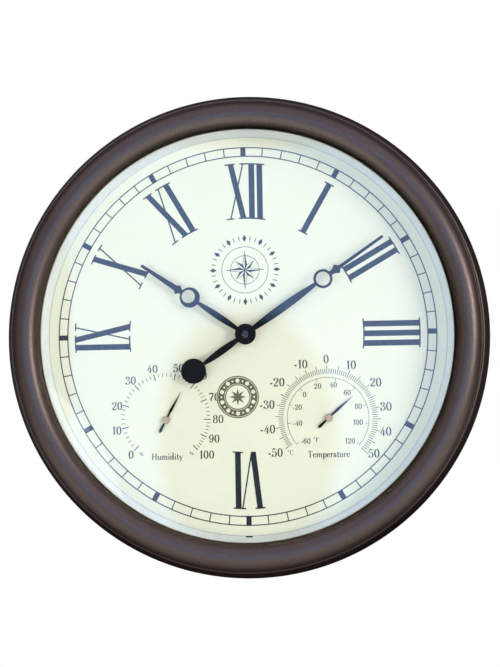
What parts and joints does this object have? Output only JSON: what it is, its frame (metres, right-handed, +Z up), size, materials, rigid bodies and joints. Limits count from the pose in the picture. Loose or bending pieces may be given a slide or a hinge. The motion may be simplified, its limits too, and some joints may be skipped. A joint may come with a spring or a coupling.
{
  "type": "thermometer hygrometer clock",
  "caption": "Round steel-framed wall clock with Roman numerals, openwork hands, a hygrometer and a thermometer in its dial, a battery movement and a keyhole hanger.",
  "frame": {"origin": "centre of the hanger keyhole's round hole, in the plane of the wall; the hands' axis is 138 mm below it", "axes": "+Z up the wall, -Y out of the wall towards the viewer, +X to the viewer's right"},
  "size_m": [0.356, 0.0514, 0.356],
  "materials": {
    "frame_paint": "satin metallic dark bronze",
    "gasket": "matt",
    "glass": "clear",
    "ring_white": "satin white",
    "dial_paint": "matt cream",
    "ink": "printed blue black",
    "bracket_steel": "zinc plated",
    "back_paint": "satin black",
    "screw_steel": "zinc plated",
    "hanger_steel": "zinc plated",
    "rivet_aluminium": "plain",
    "case_plastic": "moulded black",
    "bridge_plastic": "moulded natural white",
    "wheel_plastic": "moulded natural white",
    "brass": "plain",
    "washer_rubber": "matt",
    "magnet": "sintered",
    "stator_steel": "plain",
    "bobbin_plastic": "moulded",
    "winding": "enamelled copper",
    "board": "laminate",
    "crystal_can": "plated",
    "chip_resin": "resin",
    "knob_plastic": "moulded black",
    "cell_jacket": "satin film",
    "contact_steel": "nickel plated",
    "hand_paint": "satin blue black",
    "cup_steel": "pressed",
    "coil_bimetal": "strip",
    "hub_brass": "satin pinkish"
  },
  "bodies": {
    "case": {"back_plate": "back_paint", "back_screws": "screw_steel", "battery_contact_negative": "contact_steel", "battery_contact_positive": "contact_steel", "brass_washer": "brass", "case_back": "case_plastic", "case_front": "case_plastic", "circuit_board": "board", "clock_chip": "chip_resin", "coil_bobbin": "bobbin_plastic", "dial_plate": "dial_paint", "drive_coil": "winding", "frame_brackets": "bracket_steel", "front_frame": "frame_paint", "front_glass": "glass", "glass_gasket": "gasket", "hanger_plate": "hanger_steel", "hanger_rivets": "rivet_aluminium", "hour_numerals": "ink", "humidity_scale": "ink", "hygrometer_coil": "coil_bimetal", "hygrometer_cup": "cup_steel", "hygrometer_eyelet": "brass", "inner_ring": "ring_white", "minute_track": "ink", "mounting_nut": "brass", "quartz_crystal": "crystal_can", "rubber_washer": "washer_rubber", "stator": "stator_steel", "temperature_scale": "ink", "thermometer_coil": "coil_bimetal", "thermometer_cup": "cup_steel", "thermometer_eyelet": "brass", "train_bridge": "bridge_plastic"},
    "minute": {"centre_arbor": "brass", "centre_wheel": "wheel_plastic", "minute_hand": "hand_paint", "minute_hand_collet": "hand_paint", "counterweight": "hand_paint", "cap_nut": "hand_paint"},
    "hour": {"hour_wheel": "wheel_plastic", "hour_hand": "hand_paint", "hour_hand_collet": "hand_paint"},
    "minute_wheel_body": {"minute_wheel": "wheel_plastic"},
    "setting_knob_body": {"setting_knob": "knob_plastic"},
    "third_wheel_body": {"third_wheel": "wheel_plastic"},
    "second_wheel_body": {"second_wheel": "wheel_plastic"},
    "step_wheel_body": {"step_wheel": "wheel_plastic"},
    "rotor_body": {"rotor": "wheel_plastic", "rotor_magnet": "magnet"},
    "humidity_needle": {"hygrometer_spindle": "brass", "hygrometer_pointer": "hand_paint", "hygrometer_hub": "hub_brass"},
    "temperature_needle": {"thermometer_spindle": "brass", "thermometer_pointer": "hand_paint", "thermometer_hub": "hub_brass"},
    "cell": {"battery": "cell_jacket"}
  },
  "joints": [
    {"name": "minute_hand_turn", "type": "hinge", "parent": "case", "child": "minute", "pos_m": [0, 0, -0.138], "axis": [0, 1, 0], "continuous": true},
    {"name": "hour_hand_turn", "type": "hinge", "parent": "case", "child": "hour", "pos_m": [0, 0, -0.138], "axis": [0, 1, 0], "continuous": true},
    {"name": "minute_wheel_turn", "type": "hinge", "parent": "case", "child": "minute_wheel_body", "pos_m": [-0.01, 0, -0.138], "axis": [0, 1, 0], "continuous": true},
    {"name": "setting_knob_turn", "type": "hinge", "parent": "case", "child": "setting_knob_body", "pos_m": [-0.01909, 0, -0.13275], "axis": [0, 1, 0], "continuous": true},
    {"name": "third_wheel_turn", "type": "hinge", "parent": "case", "child": "third_wheel_body", "pos_m": [-0.00624, 0, -0.12909], "axis": [0, 1, 0], "continuous": true},
    {"name": "second_wheel_turn", "type": "hinge", "parent": "case", "child": "second_wheel_body", "pos_m": [0.00155, 0, -0.12459], "axis": [0, 1, 0], "continuous": true},
    {"name": "step_wheel_turn", "type": "hinge", "parent": "case", "child": "step_wheel_body", "pos_m": [0.00855, 0, -0.12459], "axis": [0, 1, 0], "continuous": true},
    {"name": "rotor_turn", "type": "hinge", "parent": "case", "child": "rotor_body", "pos_m": [0.01315, 0, -0.12844], "axis": [0, 1, 0], "continuous": true},
    {"name": "humidity_pointer_turn", "type": "hinge", "parent": "case", "child": "humidity_needle", "pos_m": [-0.06, 0, -0.20001], "axis": [0, 1, 0], "range_deg": [-162, 105.5], "stiffness_Nm_per_rad": 0.0002},
    {"name": "temperature_pointer_turn", "type": "hinge", "parent": "case", "child": "temperature_needle", "pos_m": [0.0596, 0, -0.20001], "axis": [0, 1, 0], "range_deg": [-177.5, 82.5], "stiffness_Nm_per_rad": 0.0002},
    {"name": "battery_slide", "type": "slide", "parent": "case", "child": "cell", "axis": [0, 1, 0], "range_m": [0, 0.03]}
  ],
  "couplings": [
    {"joint": "hour_hand_turn", "follows": "minute_hand_turn", "ratio": 0.083333},
    {"joint": "minute_wheel_turn", "follows": "minute_hand_turn", "ratio": -0.33333},
    {"joint": "setting_knob_turn", "follows": "minute_hand_turn", "ratio": 0.83333},
    {"joint": "third_wheel_turn", "follows": "minute_hand_turn", "ratio": -7.5},
    {"joint": "second_wheel_turn", "follows": "minute_hand_turn", "ratio": 60},
    {"joint": "step_wheel_turn", "follows": "minute_hand_turn", "ratio": -360},
    {"joint": "rotor_turn", "follows": "minute_hand_turn", "ratio": 1800}
  ]
}
